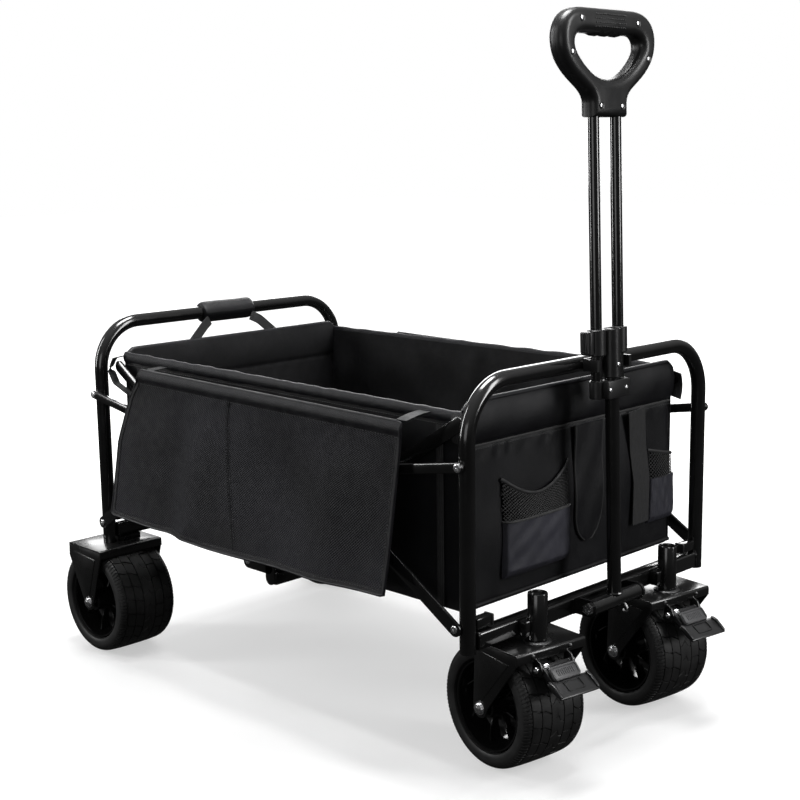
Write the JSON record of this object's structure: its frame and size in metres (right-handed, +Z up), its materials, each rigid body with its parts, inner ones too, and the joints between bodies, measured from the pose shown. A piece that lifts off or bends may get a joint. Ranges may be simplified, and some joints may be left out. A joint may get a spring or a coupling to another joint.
{
  "type": "folding camp wagon",
  "caption": "Folding camp wagon with a fabric basket between two tube hoops, side scissor linkages, wide tyres, swivelling front casters with foot brakes and a telescoping D-grip handle.",
  "frame": {"origin": "on the ground, at the middle of the wagon's bounding box", "axes": "+X towards the pull handle (front), +Y to the wagon's left, +Z up"},
  "size_m": [1.0327, 0.64, 1.0269],
  "materials": {
    "powder_coat": "gloss black powder coat",
    "bolt_steel": "zinc-plated",
    "black_plastic": "satin moulded",
    "brake_plastic": "satin moulded",
    "grip_plastic": "satin, fine texture",
    "tyre": "matt",
    "wheel_rim": "gloss",
    "basket_fabric": "coated oxford weave",
    "flap_fabric": "open twill mesh",
    "webbing": "ribbed webbing"
  },
  "bodies": {
    "front_frame": {"front_hoop": "powder_coat", "front_cross_bar": "powder_coat", "caster_stem_tube_right": "powder_coat", "caster_stem_tube_left": "powder_coat", "handle_bracket": "powder_coat", "handle_pivot_bolt": "bolt_steel", "handle_cradle": "black_plastic", "basket_front_panel": "basket_fabric", "basket_floor": "basket_fabric", "basket_side_right": "basket_fabric", "basket_side_left": "basket_fabric", "side_flap_right": "flap_fabric", "side_flap_left": "flap_fabric", "front_pocket_right": "basket_fabric", "front_pocket_left": "basket_fabric"},
    "rear_frame": {"rear_hoop": "powder_coat", "rear_cross_bar": "powder_coat", "rear_fork_right": "powder_coat", "rear_fork_left": "powder_coat", "rear_axle_bolt_right": "bolt_steel", "rear_axle_bolt_left": "bolt_steel", "basket_rear_panel": "basket_fabric", "rear_sleeve": "webbing", "rear_strap_right": "webbing", "rear_strap_left": "webbing"},
    "lower_bar_front_right": {"lower_bar_front_right": "powder_coat"},
    "lower_bar_front_left": {"lower_bar_front_left": "powder_coat"},
    "upper_bar_front_right": {"upper_bar_front_right": "powder_coat"},
    "upper_bar_front_left": {"upper_bar_front_left": "powder_coat"},
    "upper_bar_rear_right": {"upper_bar_rear_right": "powder_coat"},
    "upper_bar_rear_left": {"upper_bar_rear_left": "powder_coat"},
    "lower_bar_rear_right": {"lower_bar_rear_right": "powder_coat"},
    "lower_bar_rear_left": {"lower_bar_rear_left": "powder_coat"},
    "short_link_front_right": {"short_link_front_right": "powder_coat"},
    "short_link_front_left": {"short_link_front_left": "powder_coat"},
    "short_link_rear_right": {"short_link_rear_right": "powder_coat"},
    "short_link_rear_left": {"short_link_rear_left": "powder_coat"},
    "centre_floor_bar": {"centre_floor_bar": "powder_coat"},
    "rear_wheel_right": {"rear_tyre_right": "tyre", "rear_rim_right": "wheel_rim"},
    "caster_right": {"caster_fork_right": "powder_coat", "front_axle_bolt_right": "bolt_steel"},
    "front_wheel_right": {"front_tyre_right": "tyre", "front_rim_right": "wheel_rim"},
    "brake_right": {"brake_pedal_right": "brake_plastic"},
    "rear_wheel_left": {"rear_tyre_left": "tyre", "rear_rim_left": "wheel_rim"},
    "caster_left": {"caster_fork_left": "powder_coat", "front_axle_bolt_left": "bolt_steel"},
    "front_wheel_left": {"front_tyre_left": "tyre", "front_rim_left": "wheel_rim"},
    "brake_left": {"brake_pedal_left": "brake_plastic"},
    "handle": {"handle_stalk": "powder_coat", "handle_guide_block": "black_plastic"},
    "handle_slide": {"sliding_tube_right": "powder_coat", "sliding_tube_left": "powder_coat", "slider_shoe": "black_plastic", "grip_front_shell": "grip_plastic", "grip_rear_shell": "grip_plastic"},
    "release_lever": {"release_lever": "black_plastic"}
  },
  "joints": [
    {"name": "fold", "type": "hinge", "parent": "front_frame", "child": "lower_bar_front_right", "pos_m": [0.3917, -0.2787, 0.226], "axis": [0, 1, 0], "range_deg": [0, 46], "deforming": ["basket_floor", "basket_side_right", "basket_side_left", "side_flap_right", "side_flap_left"]},
    {"name": "cross_front_right", "type": "hinge", "parent": "lower_bar_front_right", "child": "upper_bar_front_right", "pos_m": [0.16781, -0.2453, 0.3659], "axis": [0, 1, 0], "range_deg": [-92, 0]},
    {"name": "bottom_centre_right", "type": "hinge", "parent": "upper_bar_front_right", "child": "upper_bar_rear_right", "pos_m": [-0.0123, -0.2498, 0.25335], "axis": [0, 1, 0], "range_deg": [0, 92]},
    {"name": "cross_rear_right", "type": "hinge", "parent": "upper_bar_rear_right", "child": "lower_bar_rear_right", "pos_m": [-0.19242, -0.283, 0.3659], "axis": [0, 1, 0], "range_deg": [-92, 0]},
    {"name": "lower_rear_right", "type": "hinge", "parent": "lower_bar_rear_right", "child": "rear_frame", "pos_m": [-0.4163, -0.2787, 0.226], "axis": [0, 1, 0], "range_deg": [0, 46]},
    {"name": "floor_bar_hinge", "type": "hinge", "parent": "upper_bar_front_right", "child": "centre_floor_bar", "pos_m": [-0.0123, -0.2453, 0.25335], "axis": [0, 1, 0], "range_deg": [0, 46]},
    {"name": "lower_front_left", "type": "hinge", "parent": "front_frame", "child": "lower_bar_front_left", "pos_m": [0.3917, 0.2787, 0.226], "axis": [0, 1, 0], "range_deg": [0, 46]},
    {"name": "cross_front_left", "type": "hinge", "parent": "lower_bar_front_left", "child": "upper_bar_front_left", "pos_m": [0.16781, 0.2453, 0.3659], "axis": [0, 1, 0], "range_deg": [-92, 0]},
    {"name": "lower_rear_left", "type": "hinge", "parent": "rear_frame", "child": "lower_bar_rear_left", "pos_m": [-0.4163, 0.2787, 0.226], "axis": [0, 1, 0], "range_deg": [-46, 0]},
    {"name": "cross_rear_left", "type": "hinge", "parent": "lower_bar_rear_left", "child": "upper_bar_rear_left", "pos_m": [-0.19242, 0.2498, 0.3659], "axis": [0, 1, 0], "range_deg": [0, 92]},
    {"name": "link_front_right", "type": "hinge", "parent": "front_frame", "child": "short_link_front_right", "pos_m": [0.4017, -0.28, 0.445], "axis": [0, 1, 0], "range_deg": [0, 82.29]},
    {"name": "link_rear_right", "type": "hinge", "parent": "rear_frame", "child": "short_link_rear_right", "pos_m": [-0.4263, -0.28, 0.445], "axis": [0, 1, 0], "range_deg": [-82.29, 0]},
    {"name": "link_front_left", "type": "hinge", "parent": "front_frame", "child": "short_link_front_left", "pos_m": [0.4017, 0.28, 0.445], "axis": [0, 1, 0], "range_deg": [0, 82.29]},
    {"name": "link_rear_left", "type": "hinge", "parent": "rear_frame", "child": "short_link_rear_left", "pos_m": [-0.4263, 0.28, 0.445], "axis": [0, 1, 0], "range_deg": [-82.29, 0]},
    {"name": "rear_wheel_spin_right", "type": "hinge", "parent": "rear_frame", "child": "rear_wheel_right", "pos_m": [-0.4263, -0.251, 0.09], "axis": [0, 1, 0], "continuous": true},
    {"name": "caster_swivel_right", "type": "hinge", "parent": "front_frame", "child": "caster_right", "pos_m": [0.4272, -0.1524, 0.2], "axis": [0, 0, 1], "continuous": true},
    {"name": "front_wheel_spin_right", "type": "hinge", "parent": "caster_right", "child": "front_wheel_right", "pos_m": [0.37967, -0.14572, 0.09], "axis": [0.1392, 0.9903, 0], "continuous": true},
    {"name": "brake_press_right", "type": "hinge", "parent": "caster_right", "child": "brake_right", "pos_m": [0.45988, -0.15699, 0.161], "axis": [0.1392, 0.9903, 0], "range_deg": [0, 14]},
    {"name": "rear_wheel_spin_left", "type": "hinge", "parent": "rear_frame", "child": "rear_wheel_left", "pos_m": [-0.4263, 0.251, 0.09], "axis": [0, 1, 0], "continuous": true},
    {"name": "caster_swivel_left", "type": "hinge", "parent": "front_frame", "child": "caster_left", "pos_m": [0.4272, 0.1524, 0.2], "axis": [0, 0, 1], "continuous": true},
    {"name": "front_wheel_spin_left", "type": "hinge", "parent": "caster_left", "child": "front_wheel_left", "pos_m": [0.37967, 0.15908, 0.09], "axis": [0.1392, 0.9903, 0], "continuous": true},
    {"name": "brake_press_left", "type": "hinge", "parent": "caster_left", "child": "brake_left", "pos_m": [0.45988, 0.14781, 0.161], "axis": [0.1392, 0.9903, 0], "range_deg": [0, 14]},
    {"name": "handle_swing", "type": "hinge", "parent": "front_frame", "child": "handle", "pos_m": [0.4427, 0, 0.211], "axis": [0, 1, 0], "range_deg": [0, 95]},
    {"name": "handle_telescope", "type": "slide", "parent": "handle", "child": "handle_slide", "axis": [-0.0297, 0, 0.9996], "range_m": [-0.27, 0]},
    {"name": "lever_squeeze", "type": "slide", "parent": "handle", "child": "release_lever", "axis": [0, 1, 0], "range_m": [0, 0.003], "stiffness_N_per_m": 500, "springref_m": -0.002}
  ],
  "couplings": [
    {"joint": "cross_front_right", "follows": "fold", "ratio": -2},
    {"joint": "bottom_centre_right", "follows": "fold", "ratio": 2},
    {"joint": "cross_rear_right", "follows": "fold", "ratio": -2},
    {"joint": "lower_rear_right", "follows": "fold", "ratio": 1},
    {"joint": "floor_bar_hinge", "follows": "fold", "ratio": 1},
    {"joint": "lower_front_left", "follows": "fold", "ratio": 1},
    {"joint": "cross_front_left", "follows": "fold", "ratio": -2},
    {"joint": "lower_rear_left", "follows": "fold", "ratio": -1},
    {"joint": "cross_rear_left", "follows": "fold", "ratio": 2},
    {"joint": "link_front_right", "follows": "fold", "ratio": 1.789},
    {"joint": "link_rear_right", "follows": "fold", "ratio": -1.789},
    {"joint": "link_front_left", "follows": "fold", "ratio": 1.789},
    {"joint": "link_rear_left", "follows": "fold", "ratio": -1.789}
  ]
}
